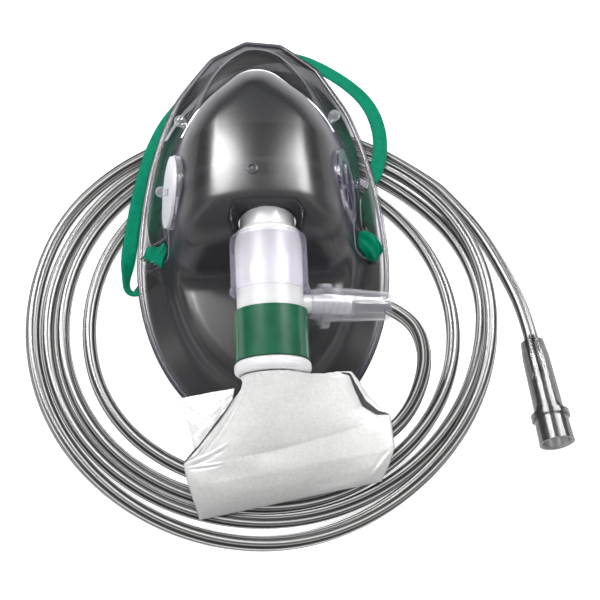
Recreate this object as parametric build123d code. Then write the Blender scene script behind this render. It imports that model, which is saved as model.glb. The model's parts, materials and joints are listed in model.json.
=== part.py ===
from build123d import *
import math
import os

# Non-rebreather oxygen mask with its reservoir bag, elastic strap and coiled supply tubing.
# Millimetres, +Z up. The part lies on the plane Z = 0, face side down, nose end towards +Y.
# Every cord route and the frames below are in this one frame.

# ---- driving dimensions -------------------------------------------------------------------
half_width = 45.8          # rim, at its widest
chin_length = 67.0         # rim, from the widest line to the chin end
nose_length = 99.0         # rim, from the widest line to the nose end
wall = 1.5                 # vinyl wall
tilt = 5.0                 # the nose end lies on the coiled tube
skirt_inset = 9.5
skirt_height = 6.0
shelf_inset = 15.0
shelf_height = 17.0
dome_base = 10.0
dome_top = 52.0
dome_round = 9.0
rim_width = 4.0
rim_thickness = 2.0
slot_size = (9.6, 9.6)     # strap slot
slot_centre = (38.4, 2.0)

port_y = 15.0              # exhalation ports, on the side walls of the dome
port_z = 27.0
port_lean = 15.6           # degrees that the side wall leans in
seat_radius = 13.2
seat_thickness = 2.4
port_hole = 10.0
disc_radius = 12.6
disc_thickness = 1.0
peg_radius = 1.3
left_peg, right_peg = 3.5, 5.2
peg_head = 1.9
peg_hole = 1.7

connector_start = (2.3, -10.4, 42.6)   # where the sleeve meets the leaning dome, on the connector's axis
connector_dip = 12.0
inlet_roll = -14.0
sleeve_radius = 12.85
sleeve_length = 21.4
connector_radius = 11.0    # 22 mm breathing connector
running_gap = 0.3
connector_wall = 1.5
lip_radius = 9.2
lip_length = 6.0
body_length = 44.5
band_start = 28.0
band_radius = 12.1
ring_radius = 12.5
ring_length = 4.5
inlet_at = 24.7
nipple_radius = 3.1
adaptor_start = 16.6
collar_start = 13.2
adaptor_bore = 3.35
adaptor_end = 40.7
tube_insertion = 11.0

tube_diameter = 5.0
tube_bore = 2.6
coil_centre = (0, -22)
strap_width = 5.2
strap_thickness = 0.8
strap_drop = 1.0           # from the rim's underside to the top of the strap
clip_height = 18.0
clip_width = 5.0
clip_thickness = 0.6

socket_radius = 4.6
socket_length = 13.0
supply_start = (94.6, -38.0, 5.4)
supply_end = (96.8, -76.5, 7.4)

mask_frame = Location((0, -chin_length, 0), (tilt, 0, 0)) * Location((0, chin_length, 0))
dip = math.radians(connector_dip)
connector_plane = Plane(connector_start, x_dir=(1, 0, 0), z_dir=(0, -math.cos(dip), -math.sin(dip)))
connector_frame = connector_plane.location * Location((0, 0, 0), (0, 0, inlet_roll))
inlet_frame = connector_frame * Location((0, 0, inlet_at)) * Plane(
    (0, 0, 0), x_dir=(0, 1, 0), z_dir=(1, 0, 0)).location


def save(node, shape):
    """Write one node as a STEP file, with its solids side by side."""
    solids = shape.solids() if hasattr(shape, "solids") else shape
    export_step(Compound(children=list(solids)) if len(solids) > 1 else solids[0], f"parts/{node}.step")


def tube(outer, inner, start, end):
    """A round tube along Z."""
    length = end - start
    shape = Pos(0, 0, start) * extrude(Circle(outer), length)
    if inner:
        shape -= Pos(0, 0, start - 1) * extrude(Circle(inner), length + 2)
    return shape


def revolved(points):
    """A solid of revolution about Z from (radius, height) points."""
    outline = Polyline([(r, 0, h) for r, h in points], close=True)
    return revolve(make_face(outline), Axis.Z)


# ---- mask shell ---------------------------------------------------------------------------
def egg(inset, height):
    """The rim's outline, moved inwards: two half ellipses that meet on the widest line."""
    nose = EllipticalCenterArc((0, 0), half_width - inset, nose_length - inset, 0, arc_size=180)
    chin = EllipticalCenterArc((0, 0), half_width - inset, chin_length - inset, 180, arc_size=180)
    return Pos(0, 0, height) * make_face([nose, chin])


def house(apex, shoulder, corner, rounds, inset, height):
    """The dome's outline: a flat chin side, two flat cheeks and a rounded nose."""
    points = [(0, apex), shoulder, corner, (-corner[0], corner[1]), (-shoulder[0], shoulder[1])]
    face = make_face(Polyline(points, close=True))
    face = fillet(face.vertices(), rounds)
    return Pos(0, 0, height) * offset(face, -inset) if inset else Pos(0, 0, height) * face


def dome_form(inset, crown):
    """The dome alone, inset or grown, with its crown rounded."""
    base = house(79, (33, 46.5), (34, -15), 12, inset, dome_base - max(inset, 0))
    top = house(52, (20, 33), (22.5, -7.5), 10, inset, dome_top - max(inset, 0))
    dome = loft([base, top], ruled=True)
    return fillet(dome.faces().sort_by(Axis.Z)[-1].edges(), crown) if crown else dome


def hull(inset):
    """The mask's solid outer form, or the form of its hollow when inset by the wall."""
    low = loft([egg(inset, -0.01 if inset else 0), egg(skirt_inset + inset, skirt_height - inset)],
               ruled=True)
    low += loft([egg(skirt_inset + inset, skirt_height - inset),
                 egg(shelf_inset + inset, shelf_height - inset)], ruled=True)
    return low + dome_form(inset, dome_round - inset)


def port_frame(side):
    """Outward Z from the middle of a cheek; side is -1 on the left and 1 on the right."""
    lean = math.radians(port_lean)
    across = 34.0 - (port_z - dome_base) * math.tan(lean) - 0.4
    return mask_frame * Plane((side * across, port_y, port_z), x_dir=(0, 1, 0),
                              z_dir=(side * math.cos(lean), 0, math.sin(lean))).location


def make_mask_shell():
    rim = extrude(egg(-0.3, 0), rim_thickness) - extrude(egg(rim_width, -1), rim_thickness + 2)
    shape = mask_frame * (hull(0) + rim)
    shape += connector_frame * tube(sleeve_radius, 0, -9, sleeve_length)
    shape -= mask_frame * hull(wall)
    shape -= connector_frame * tube(connector_radius + running_gap, 0, -16, sleeve_length + 1)
    for side in (-1, 1):
        shape -= mask_frame * Pos(side * slot_centre[0], slot_centre[1], 3) * Box(*slot_size, 30)
        shape -= port_frame(side) * tube(port_hole, 0, -6, 6)
    return shape


# ---- exhalation ports ---------------------------------------------------------------------
def make_seat(peg_length):
    """A seat ring with three spokes and the peg that holds a disc."""
    shape = tube(seat_radius, port_hole - 1.0, 0.2, seat_thickness)
    shape += tube(port_hole - 0.1, port_hole - 1.0, -2.2, 0.2)
    for angle in (0, 120, 240):
        spoke = Pos(port_hole / 2, 0, seat_thickness - 0.8) * Box(port_hole, 1.4, 1.6)
        shape += Rot(0, 0, angle) * spoke
    shape += tube(2.4, 0, seat_thickness - 1.6, seat_thickness)
    shape += tube(peg_radius, 0, seat_thickness - 0.5, seat_thickness + peg_length)
    shape += Pos(0, 0, seat_thickness + peg_length) * Sphere(peg_head)
    return shape


def make_exhalation_disc():
    shape = tube(disc_radius, peg_hole, 0, disc_thickness)
    return Pos(0, 0, seat_thickness + 0.1) * shape


# ---- nose clip ----------------------------------------------------------------------------
def make_nose_clip():
    near = 0.15
    band = dome_form(-near - clip_thickness, 0) - dome_form(-near, 0)
    band &= Pos(0, 64.5, clip_height + clip_width / 2) * Box(61, 46, clip_width)
    for side in (-1, 1):
        band -= clip_stud_frame(side) * tube(1.4, 0, -6, 6)
    return mask_frame * band


def clip_stud_frame(side):
    """Outward Z where a stud goes through the clip, near its end, in the mask's frame."""
    return Plane((side * 26.1, 46.0, clip_height + clip_width / 2), x_dir=(0, 0, 1),
                 z_dir=(side * 0.71, 0.60, 0.38)).location


def make_clip_studs(shell):
    """Both studs stand on the outside of the shell and end in a round head."""
    stud = tube(1.3, 0, -3.0, 3.0) + Pos(0, 0, 3.4) * Sphere(2.1)
    cut = [mask_frame * clip_stud_frame(side) * stud - shell for side in (-1, 1)]
    return [piece.solids().sort_by(SortBy.VOLUME)[-1] for piece in cut]


# ---- connector ----------------------------------------------------------------------------
def make_valve_body():
    inner = connector_radius - connector_wall
    end = body_length
    shape = revolved([
        (lip_radius - 1.4, -lip_length), (lip_radius, -lip_length), (lip_radius, -0.6),
        (connector_radius, 1.0), (connector_radius, end), (inner, end), (inner, 1.6),
        (lip_radius - 1.4, 0)])
    neck_length = adaptor_start - connector_radius + 4
    neck = Pos(0, 0, connector_radius - 1) * extrude(Circle(nipple_radius), neck_length)
    barb = Pos(0, 0, adaptor_start + 3) * extrude(Circle(2.9), 7.6)
    for n in range(3):
        barb += Pos(0, 0, adaptor_start + 4.6 + 2.4 * n) * Cone(3.3, 2.9, 1.8)
    bore = extrude(Circle(1.5), adaptor_start + 16)
    shape += Pos(0, 0, inlet_at) * Rot(0, 90, 0) * (neck + barb)
    shape -= Pos(0, 0, inlet_at) * Rot(0, 90, 0) * (Pos(0, 0, inner - 2) * bore)
    return connector_frame * shape


def make_inhalation_seat():
    inner = connector_radius - connector_wall
    shape = tube(inner, inner - 2.2, 8, 10)
    for angle in (0, 90, 180, 270):
        shape += Rot(0, 0, angle) * Pos(inner / 2 - 0.5, 0, 9) * Box(inner - 1, 1.2, 2)
    shape += tube(1.8, 0, 8, 10) + tube(1.0, 0, 3.2, 8)
    shape += Pos(0, 0, 3.2) * Sphere(1.6)
    return connector_frame * shape


def make_inhalation_disc():
    return connector_frame * tube(7.9, 1.3, 7.1, 7.9)


def make_colour_band():
    return connector_frame * tube(band_radius, connector_radius, band_start, body_length)


def make_neck_ring():
    shape = tube(ring_radius, connector_radius - connector_wall, body_length, body_length + ring_length)
    shape = fillet(shape.edges().filter_by(GeomType.CIRCLE).group_by(SortBy.RADIUS)[-1], 1.8)
    return connector_frame * shape


def make_tube_adaptor():
    """Soft adaptor: a lugged root over the nipple, a straight bore, then a tapered grip."""
    shape = revolved([
        (adaptor_bore, collar_start), (4.9, collar_start), (5.2, adaptor_start), (6.9, adaptor_start),
        (6.9, adaptor_start + 3), (5.7, adaptor_start + 3.6),
        (5.5, adaptor_start + 12), (4.7, adaptor_end), (tube_diameter / 2 + 0.02, adaptor_end),
        (tube_diameter / 2 + 0.02, adaptor_end - tube_insertion),
        (adaptor_bore, adaptor_end - tube_insertion - 1.0)])
    for angle in (90, 210, 330):
        lug = Rot(0, 0, angle) * Pos(7.0, 0, adaptor_start + 1.5) * Box(1.9, 3.4, 2.6)
        shape += lug
    return shape


def make_tube_end():
    return tube(tube_diameter / 2, tube_bore / 2, adaptor_end - tube_insertion + 0.2, adaptor_end)


# ---- reservoir bag ------------------------------------------------------------------------
def make_bag():
    """The folded bag: a neck cone that falls onto a flat packet laid on the coiled tube."""
    end = body_length + ring_length + running_gap
    neck = connector_plane.location * Pos(0, 0, end) * Circle(10.6)
    throat = Plane((2, -71, 13.5), x_dir=(1, 0, 0), z_dir=(0, -0.80, -0.60)).location * Ellipse(31, 6)
    shape = loft([neck.face(), throat.face()], ruled=True)
    outline = [(-30, -69), (-28, -79), (-23.5, -97.8), (6, -92), (37.5, -87.5), (41.5, -76), (41, -69)]
    packet = make_face(Polyline(outline, close=True))
    packet = fillet(packet.vertices(), 2)
    return shape + Pos(0, 0, 5.6) * extrude(packet, 7)


# ---- strap --------------------------------------------------------------------------------
# Routes in the mask's own plane, from the left knot to the right knot.
strap_outer_route = [(-40.5, -4.0), (-46.5, -11.5), (-51.3, -8.5), (-50.2, 4), (-47.6, 24), (-43.6, 44),
                     (-38.2, 59.5), (-30.5, 71), (-20.5, 81.5), (-8.5, 88.5), (4, 92.2), (15, 91.5),
                     (26, 86), (37, 77), (44.2, 67.8), (47.4, 57), (47.4, 46), (44.6, 36), (41, 27),
                     (40.4, 17), (40.8, 6.7)]
strap_inner_route = [(-38.0, 6.4), (-41.3, 16), (-39.8, 32), (-35.4, 49), (-28.5, 62.5), (-18.5, 73),
                     (-6.5, 80.6), (5.5, 83.4), (16, 80.5), (24.5, 72.5), (31, 61), (35, 48), (36, 36),
                     (34.8, 24), (34.4, 14), (35.4, 6.7)]


def rounded_route(points):
    """Straight runs joined by tangent arcs that are as large as their runs allow."""
    radii = []
    for a, b, c in zip(points, points[1:], points[2:]):
        first = Vector(*b) - Vector(*a)
        second = Vector(*c) - Vector(*b)
        half_turn = math.radians(first.get_angle(second)) / 2
        radii.append(0.45 * min(first.length, second.length) / math.tan(half_turn))
    print("bend radii", [round(radius, 1) for radius in radii])
    return FilletPolyline(*points, radius=radii)


def make_strap(route):
    path = rounded_route(route)
    start = Plane(path @ 0, z_dir=path % 0, x_dir=(0, 0, 1))
    ribbon = sweep(start * Rectangle(strap_thickness, strap_width), path)
    return mask_frame * Pos(0, 0, -strap_drop - strap_thickness / 2) * ribbon


def make_knot(side):
    """The knotted end that fills most of the slot, from under the rim to above it."""
    block = Box(8.4, 6.6, 9.6)
    block = fillet(block.edges().filter_by(Axis.Z), 2)
    block = fillet(block.faces().sort_by(Axis.Z)[-1].edges(), 1.5)
    centre_y = slot_centre[1] + (-1.2 if side < 0 else 1.2)
    return mask_frame * Pos(side * slot_centre[0], centre_y, 4.8 - strap_drop - strap_thickness) * block


# ---- supply tubing ------------------------------------------------------------------------
# The lead starts a little clear of the adaptor's end, so that the connector can turn.
lead_start = (inlet_frame * Pos(0, 0, adaptor_end + 1.4)).position
lead_route = [tuple(lead_start), (48.2, -35.1, 24.8), (53.1, -41.2, 21.0), (54.1, -49.9, 16.3),
              (50.5, -59.3, 9.0), (44.8, -65.8, 3.3), (36.5, -71.5, 2.5)]
supply_axis = (Vector(*supply_end) - Vector(*supply_start)).normalized()
tail_approach = tuple(Vector(*supply_start) - supply_axis * 13)
tail_route = [(73.5, 25.5, 2.5), (82.5, 10.5, 2.5), (89.2, -7.5, 3.2), tail_approach, supply_start]
coil_height = 5.0
stack_height = 9.9


def make_tube(route):
    path = rounded_route(route)
    start = Plane(path @ 0, z_dir=path % 0)
    shape = sweep(start * Circle(tube_diameter / 2), path)
    area = math.pi * tube_diameter ** 2 / 4
    print("tube length", round(path.length, 1), "volume / (section x length)",
          round(shape.volume / (area * path.length), 3))
    return shape


def make_coil():
    """The outer shape of the four loose turns, with the crescent where they lie two high."""
    cx, cy = coil_centre
    flat = Pos(cx - 2.5, cy) * extrude(Circle(89.5), coil_height)
    high = Pos(cx - 1.5, cy) * extrude(Circle(85.5), stack_height)
    high -= Pos(cx - 1.5, cy) * extrude(Circle(74.5), stack_height)
    sector = make_face(Polyline([(0, -22), (140, 38), (140, -160), (88, -135)], close=True))
    high &= extrude(sector, stack_height)
    return flat + high - Pos(cx + 0.5, cy, -1) * extrude(Circle(61.5), coil_height + 20)


def supply_frame():
    start = Vector(*supply_start)
    return Plane(start, z_dir=Vector(*supply_end) - start, x_dir=(0, 0, 1)).location


supply_length = (Vector(*supply_end) - Vector(*supply_start)).length


def make_supply_connector():
    """The push-on connector: a stepped socket with a flange and an open, tapered mouth."""
    bore = tube_diameter / 2 + 0.02
    flange = supply_length * 0.72
    socket = supply_length - socket_length
    stop = supply_length * 0.28
    return revolved([
        (bore, 0), (4.1, 0), (4.7, 6), (5.1, flange), (6.6, flange), (6.6, flange + 1.8),
        (5.7, flange + 1.8), (6.0, supply_length), (socket_radius + 0.5, supply_length),
        (socket_radius, supply_length - 0.6), (socket_radius, socket), (3.4, socket - 2),
        (3.2, stop + 4), (1.6, stop + 0.6), (1.6, stop), (bore, stop)])


def make_supply_tube_end():
    return tube(tube_diameter / 2, tube_bore / 2, 0, supply_length * 0.27)


# ---- the parts ----------------------------------------------------------------------------
os.makedirs("parts", exist_ok=True)
shell = make_mask_shell()
save("mask_shell", shell)
save("vent_seat_left", port_frame(-1) * make_seat(left_peg))
save("vent_seat_right", port_frame(1) * make_seat(right_peg))
save("exhalation_disc", port_frame(-1) * make_exhalation_disc())
save("nose_clip", make_nose_clip())
save("nose_clip_studs", Compound(children=make_clip_studs(shell)))
save("strap_outer", make_strap(strap_outer_route))
save("strap_inner", make_strap(strap_inner_route))
save("strap_knot_left", make_knot(-1))
save("strap_knot_right", make_knot(1))
save("valve_body", make_valve_body())
save("inhalation_seat", make_inhalation_seat())
save("inhalation_disc", make_inhalation_disc())
save("colour_band", make_colour_band())
save("neck_ring", make_neck_ring())
save("tube_adaptor", inlet_frame * make_tube_adaptor())
save("tube_end", inlet_frame * make_tube_end())
save("reservoir_bag", make_bag())
coil = make_coil()
save("tube_coil", coil)
save("tube_lead", make_tube(lead_route) - coil)
save("tube_tail", make_tube(tail_route) - coil)
save("supply_connector", supply_frame() * make_supply_connector())
save("supply_tube_end", supply_frame() * make_supply_tube_end())
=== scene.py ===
"""Non-rebreather oxygen mask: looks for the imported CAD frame."""
import json
import math
import bpy
import bmesh
import numpy as np
from mathutils import Matrix, Vector


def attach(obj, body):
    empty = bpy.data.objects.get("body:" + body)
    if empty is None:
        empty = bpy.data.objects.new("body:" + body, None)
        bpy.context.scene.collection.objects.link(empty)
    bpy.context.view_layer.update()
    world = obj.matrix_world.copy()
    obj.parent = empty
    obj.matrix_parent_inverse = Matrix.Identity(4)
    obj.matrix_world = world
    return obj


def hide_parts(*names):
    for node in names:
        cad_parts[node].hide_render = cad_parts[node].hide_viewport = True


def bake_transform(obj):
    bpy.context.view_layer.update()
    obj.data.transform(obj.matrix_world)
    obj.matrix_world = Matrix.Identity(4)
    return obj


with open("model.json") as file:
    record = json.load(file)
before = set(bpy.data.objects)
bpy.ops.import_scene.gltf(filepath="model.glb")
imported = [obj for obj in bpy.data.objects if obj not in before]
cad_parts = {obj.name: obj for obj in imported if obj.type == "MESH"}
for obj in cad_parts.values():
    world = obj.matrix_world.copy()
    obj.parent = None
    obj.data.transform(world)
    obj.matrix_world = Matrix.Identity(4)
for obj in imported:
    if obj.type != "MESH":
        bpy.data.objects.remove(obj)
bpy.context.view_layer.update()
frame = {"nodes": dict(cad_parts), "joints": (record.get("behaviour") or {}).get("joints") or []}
MM = 0.001
TURN = 2 * math.pi

# ---- the CAD's own frames and sizes, in metres ----
TILT = math.radians(5.0)
CHIN, NOSE, HALF = 0.067, 0.099, 0.0458
MASK = Matrix.Translation((0, -CHIN, 0)) @ Matrix.Rotation(TILT, 4, "X") @ Matrix.Translation((0, CHIN, 0))
swivel = next(j for j in frame["joints"] if j["name"] == "connector_swivel")
AXIS_POINT = Vector(swivel["pos_m"])
AXIS = Vector(swivel["axis"]).normalized()
AXIS_UP = AXIS.cross(Vector((1, 0, 0))).normalized()
CONNECTOR = Matrix.Translation(AXIS_POINT) @ Matrix((Vector((1, 0, 0)), AXIS_UP, AXIS)).transposed().to_4x4()
INLET_ROLL = math.radians(-14.0)
INLET_AT, ADAPTOR_END = 0.0247, 0.0407
INLET = (CONNECTOR @ Matrix.Rotation(INLET_ROLL, 4, "Z") @ Matrix.Translation((0, 0, INLET_AT))
         @ Matrix.Rotation(math.pi / 2, 4, "Y"))
LEAN = AXIS_POINT.x / MM
TUBE = 0.005
COIL_CENTRE = (0.0, -0.022)
SUPPLY_START, SUPPLY_END = Vector((0.0946, -0.038, 0.0054)), Vector((0.0968, -0.0765, 0.0074))
STRAP_WIDTH, STRAP_THICK, STRAP_LEVEL = 0.0056, 0.0008, -0.0014


# ---- number helpers ----
def mm(points):
    return [tuple(c * MM for c in p) for p in points]


def eased(value, start, end):
    f = np.clip((value - start) / (end - start), 0, 1)
    return f * f * (3 - 2 * f)


def bell(s, at, width):
    return np.exp(-((s - at) / width) ** 2)


def smoothed(line, reach):
    """A line of samples averaged over reach samples to each side, with its ends held."""
    kernel = np.hanning(2 * reach + 1)
    return np.convolve(np.pad(line, reach, mode="edge"), kernel / kernel.sum(), mode="valid")


def halved(low, high, beyond, rounds):
    """The values between low and high where beyond(value) turns true, found by halving."""
    for _ in range(rounds):
        mid = (low + high) / 2
        over = beyond(mid)
        high = np.where(over, mid, high)
        low = np.where(over, low, mid)
    return low


# ---- mesh helpers ----
def linked(name, data):
    """A new object in the scene that shows the data."""
    thing = bpy.data.objects.new(name, data)
    bpy.context.scene.collection.objects.link(thing)
    return thing


def mesh_object(name, verts, faces):
    data = bpy.data.meshes.new(name)
    data.from_pydata([tuple(v) for v in verts], [], [tuple(f) for f in faces])
    data.update()
    data.shade_smooth()
    return linked(name, data)


def grid_faces(rows, cols, close_rows=False, close_cols=True):
    """Quads between consecutive rows of cols points each."""
    faces = []
    for r in range(rows if close_rows else rows - 1):
        for c in range(cols if close_cols else cols - 1):
            a, b = r * cols, (r + 1) % rows * cols
            faces.append((a + c, a + (c + 1) % cols, b + (c + 1) % cols, b + c))
    return faces


def capped_faces(rows, cols):
    """A tube of quads, closed by fans to two more points that follow the grid's."""
    faces, last, tip = grid_faces(rows, cols), (rows - 1) * cols, rows * cols
    for k in range(cols):
        m = (k + 1) % cols
        faces += [(m, k, tip), (last + k, last + m, tip + 1)]
    return faces


def place(points, matrix):
    pts = np.asarray(points, float).reshape(-1, 3)
    m = np.array(matrix)
    return pts @ m[:3, :3].T + m[:3, 3]


def revolved(name, outline, matrix, segments=96):
    """A turned piece from a closed outline of (radius, height) points, along the matrix's Z."""
    verts = []
    for k in range(segments):
        a = TURN * k / segments
        verts += [(r * math.cos(a), r * math.sin(a), h) for r, h in outline]
    faces = grid_faces(segments, len(outline), close_rows=True)
    return mesh_object(name, place(verts, matrix), [f[::-1] for f in faces])


def bmesh_fix(piece):
    """Outward normals all over, and no doubled points."""
    bm = bmesh.new()
    bm.from_mesh(piece.data)
    bmesh.ops.remove_doubles(bm, verts=bm.verts, dist=1e-7)
    bmesh.ops.recalc_face_normals(bm, faces=bm.faces)
    bm.to_mesh(piece.data)
    bm.free()
    piece.data.shade_smooth()


def add_uv(piece, uv_of_vertex, wrap=None):
    """One UV layer from a (u, v) per vertex; wrap mends faces that cross v = wrap."""
    layer = piece.data.uv_layers.new(name="UVMap")
    index = np.zeros(len(piece.data.loops), int)
    piece.data.loops.foreach_get("vertex_index", index)
    uv = np.asarray(uv_of_vertex, float)[index]
    if wrap:
        start = 0
        for poly in piece.data.polygons:
            s = slice(poly.loop_start, poly.loop_start + poly.loop_total)
            if np.ptp(uv[s, 1]) > wrap / 2:
                uv[s, 1] = np.where(uv[s, 1] < wrap / 2, uv[s, 1] + wrap, uv[s, 1])
    layer.data.foreach_set("uv", uv.ravel())


def spline_points(name, route, resolution=10):
    """The points of the smooth curve that has the route's points as its control points."""
    curve = bpy.data.curves.new(name, "CURVE")
    curve.dimensions = "3D"
    curve.resolution_u = resolution
    spline = curve.splines.new("NURBS")
    spline.points.add(len(route) - 1)
    for point, place_at in zip(spline.points, route):
        point.co = (*place_at, 1)
    spline.order_u = 3
    spline.use_endpoint_u = True
    holder = linked(name, curve)
    bpy.context.view_layer.update()
    data = bpy.data.meshes.new_from_object(holder)
    points = np.array([v.co for v in data.vertices], float)
    bpy.data.objects.remove(holder)
    bpy.data.meshes.remove(data)
    return points


def frames_along(points, up=(0, 0, 1)):
    """Tangent, side and up at each point, with up kept as near as it can be to the given one."""
    tangent = np.gradient(points, axis=0)
    tangent /= np.linalg.norm(tangent, axis=1)[:, None]
    side = np.cross(tangent, np.asarray(up, float))
    side /= np.maximum(np.linalg.norm(side, axis=1), 1e-9)[:, None]
    return tangent, side, np.cross(side, tangent)


def run_length(points):
    step = np.linalg.norm(np.diff(points, axis=0), axis=1)
    return np.concatenate([[0], np.cumsum(step)])


def swept(name, points, outline, up=(0, 0, 1), roll=None, wide=None):
    """A closed-ended sweep of an (across, height) outline, with UVs in metres along and 0-1 round."""
    tangent, side, above = frames_along(points, up)
    roll = np.zeros(len(points)) if roll is None else roll
    c, s = np.cos(roll)[:, None], np.sin(roll)[:, None]
    side, above = c * side + s * above, c * above - s * side
    outline = np.asarray(outline, float)
    side = side if wide is None else side * wide[:, None]
    verts = (points[:, None, :] + outline[None, :, 0, None] * side[:, None, :]
             + outline[None, :, 1, None] * above[:, None, :])
    n = len(outline)
    faces = grid_faces(len(points), n)
    faces.append(tuple(range(n))[::-1])
    faces.append(tuple(range((len(points) - 1) * n, len(points) * n)))
    piece = mesh_object(name, verts.reshape(-1, 3), [f[::-1] for f in faces])
    along = np.repeat(run_length(points), n)
    round_it = np.tile(np.arange(n) / n, len(points))
    add_uv(piece, np.stack([along, round_it], 1), wrap=1.0)
    return piece


def ring_outline(radius, sides):
    return [(radius * math.cos(TURN * k / sides), radius * math.sin(TURN * k / sides))
            for k in range(sides)]


# ---- material helpers ----
class Shader:
    """The node tree of a new material or world, with short calls for the nodes used here."""

    def __init__(self, name, world=False):
        self.owner = (bpy.data.worlds if world else bpy.data.materials).new(name)
        self.owner.use_nodes = True
        self.tree = self.owner.node_tree
        self.tree.nodes.clear()
        self.out = self.tree.nodes.new("ShaderNodeOutput" + ("World" if world else "Material"))

    def node(self, kind, inputs=None, **props):
        n = self.tree.nodes.new("ShaderNode" + kind)
        for key, value in props.items():
            setattr(n, key, value)
        for key, value in (inputs or {}).items():
            if isinstance(value, bpy.types.NodeSocket):
                self.tree.links.new(value, n.inputs[key])
            else:
                n.inputs[key].default_value = value
        return n

    def math(self, operation, a, b=0.0, clamp=False, c=0.5):
        inputs = {0: a, 1: b, 2: c} if operation == "MULTIPLY_ADD" else {0: a, 1: b}
        return self.node("Math", inputs, operation=operation, use_clamp=clamp).outputs[0]

    def times(self, a, b):
        return self.math("MULTIPLY", a, b)

    def plus(self, a, b, clamp=False):
        return self.math("ADD", a, b, clamp)

    def ramp(self, fac, stops):
        n = self.node("ValToRGB", {"Fac": fac})
        while len(n.color_ramp.elements) < len(stops):
            n.color_ramp.elements.new(0.5)
        for element, (at, colour) in zip(n.color_ramp.elements, stops):
            element.position = at
            element.color = (*colour, 1) if len(colour) == 3 else colour
        return n.outputs["Color"]

    def noise(self, scale, detail=3.0, roughness=0.5):
        """Noise in the piece's own space, as scale cells to the metre."""
        return self.node("TexNoise", {"Vector": self.place(), "Scale": scale, "Detail": detail,
                                      "Roughness": roughness}).outputs["Fac"]

    def place(self):
        return self.node("TexCoord").outputs["Object"]

    def bump(self, height, strength, distance):
        return self.node("Bump", {"Height": height, "Strength": strength, "Distance": distance}).outputs[0]

    def split(self, vector):
        return self.node("SeparateXYZ", {0: vector}).outputs

    def share(self, value, start, end, first=0.0, last=1.0):
        """Where the value lies from start to end, as first to last, held at both ends."""
        return self.node("MapRange", {"Value": value, "From Min": start, "From Max": end, "To Min": first,
                                      "To Max": last}, clamp=True).outputs[0]

    def finish(self, shader):
        self.tree.links.new(shader.outputs[0], self.out.inputs["Surface"])
        return self.owner

    def solid(self, inputs):
        return self.finish(self.node("BsdfPrincipled", inputs))

    def see_through(self, inputs, tint, fac):
        """Finish as a tinted clear layer, with fac of it solid."""
        through = self.node("BsdfTransparent", {"Color": tint})
        solid = self.node("BsdfPrincipled", inputs)
        return self.finish(self.node("MixShader", {0: fac, 1: through.outputs[0], 2: solid.outputs[0]}))


def grey(level, blue=0.0):
    return level, level, level + blue


def clear_plastic(name, body, tint, face_on, edge_on, rough, bump=0.0, coat=0.0, sharp=2.2):
    """See-through moulded plastic: tinted where faced, and denser towards its edges."""
    s = Shader(name)
    facing = s.node("LayerWeight", {"Blend": 0.5}).outputs["Facing"]
    dense = s.math("POWER", facing, sharp)
    fac = s.plus(s.times(dense, edge_on - face_on), face_on, clamp=True)
    inputs = {"Base Color": (*body, 1), "Roughness": rough, "IOR": 1.5, "Specular IOR Level": 0.8,
              "Coat Weight": coat, "Coat Roughness": 0.05}
    if bump:
        inputs["Normal"] = s.bump(s.noise(700, 2.0), bump, 0.0004)
    return s.see_through(inputs, (*tint, 1), fac)


def vinyl_with_painted_shade():
    """The mask's clear vinyl with painted shade: a dark tint that stands for the shaded inside seen through
    it, lifted in the thin skirt round the nose and cheeks.
    """
    s = Shader("mask_vinyl")
    x, y, _ = s.split(s.place())
    upper = s.math("GREATER_THAN", y, 0.0)
    scale = s.plus(s.times(upper, 1 / NOSE - 1 / CHIN), 1 / CHIN)
    far = s.math("SQRT", s.plus(s.math("POWER", s.times(x, 1 / HALF), 2.0),
                                s.math("POWER", s.times(y, scale), 2.0)))
    cheeks_up, nose = s.share(y, -0.002, 0.014), s.share(y, 0.050, 0.075, 1.0, 0.3)
    # thin marks the skirt, where the painted shade is lifted.
    thin = s.times(s.times(s.share(far, 0.70, 0.86), cheeks_up), nose)
    cloud = s.noise(45)
    facing = s.node("LayerWeight", {"Blend": 0.5}).outputs["Facing"]
    edge = s.math("POWER", facing, 2.6)
    # Painted shade: the vinyl is made denser and darker over the dome than in the skirt.
    base = s.math("SUBTRACT", 0.46, s.times(thin, 0.32))
    fac = s.plus(base, s.times(edge, 0.5), clamp=True)
    fac = s.plus(fac, s.times(s.math("SUBTRACT", cloud, 0.5), 0.10), clamp=True)
    colour = s.ramp(edge, [(0.0, (0.034, 0.034, 0.036)), (0.12, (0.018, 0.017, 0.020)),
                           (0.60, (0.035, 0.031, 0.045)), (1.0, (0.10, 0.08, 0.13))])
    # The tint is painted shade as well: dark over the dome, light in the skirt.
    tint = s.ramp(thin, [(0.0, grey(0.30, 0.01)), (1.0, grey(0.84, 0.01))])
    shine = s.math("SUBTRACT", 0.5, s.times(edge, 0.5), clamp=True)
    return s.see_through({"Base Color": colour, "Roughness": 0.29, "IOR": 1.5, "Specular IOR Level": shine,
                          "Normal": s.bump(s.noise(120), 0.05, 0.0008)}, tint, fac)


def white_plastic():
    s = Shader("white_plastic")
    colour = s.ramp(s.noise(90), [(0.3, grey(0.57, 0.015)), (0.75, grey(0.65, 0.015))])
    return s.solid({
        "Base Color": colour, "Roughness": 0.34, "IOR": 1.49, "Subsurface Weight": 0.25,
        "Subsurface Radius": grey(0.004), "Subsurface Scale": 0.6, "Coat Weight": 0.2,
        "Normal": s.bump(s.noise(1200, 2.0), 0.06, 0.0003)})


def green_band():
    s = Shader("green_band")
    colour = s.ramp(s.noise(160, 4.0), [(0.3, (0.0, 0.068, 0.030)), (0.7, (0.001, 0.098, 0.045))])
    return s.solid({
        "Base Color": colour, "Roughness": 0.26, "IOR": 1.5, "Specular IOR Level": 0.3,
        "Normal": s.bump(s.noise(300), 0.10, 0.0004)})


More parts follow.
